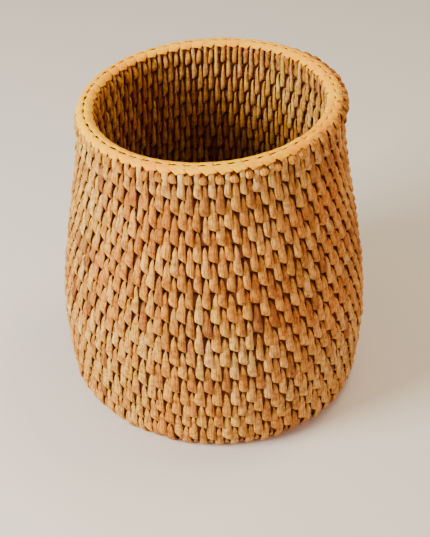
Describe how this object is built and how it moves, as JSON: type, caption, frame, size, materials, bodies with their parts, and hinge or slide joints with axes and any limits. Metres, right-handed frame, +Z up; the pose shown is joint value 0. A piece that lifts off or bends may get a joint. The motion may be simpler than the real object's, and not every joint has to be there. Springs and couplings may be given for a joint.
{
  "type": "wastebasket",
  "caption": "Round open wastebasket of coiled cane: a flat spiral base, a bellied wall that narrows to the mouth and a plaited rim.",
  "frame": {"origin": "centre of the object's box on the plane it stands on", "axes": "+Z up through the mouth, front at -Y, +X to the right, where the handmade rim stands highest"},
  "size_m": [0.2524, 0.2524, 0.2654],
  "materials": {
    "cane": "satin, natural split cane",
    "rod": "matt, natural rattan rod",
    "rim_cane": "satin, golden split cane"
  },
  "bodies": {
    "root": {"base_start": "cane", "base_binding_01": "cane", "base_binding_02": "cane", "base_binding_03": "cane", "base_binding_04": "cane", "base_binding_05": "cane", "base_binding_06": "cane", "base_binding_07": "cane", "base_binding_08": "cane", "base_binding_09": "cane", "wall_binding_01": "cane", "wall_binding_02": "cane", "wall_binding_03": "cane", "wall_binding_04": "cane", "wall_binding_05": "cane", "wall_binding_06": "cane", "wall_binding_07": "cane", "wall_binding_08": "cane", "wall_binding_09": "cane", "wall_binding_10": "cane", "wall_binding_11": "cane", "wall_binding_12": "cane", "wall_binding_13": "cane", "wall_binding_14": "cane", "wall_binding_15": "cane", "wall_binding_16": "cane", "wall_binding_17": "cane", "wall_binding_18": "cane", "wall_binding_19": "cane", "core_rod_01": "rod", "core_rod_02": "rod", "core_rod_03": "rod", "core_rod_04": "rod", "core_rod_05": "rod", "rim_core": "rod", "rim_lashing": "rim_cane"}
  },
  "joints": []
}
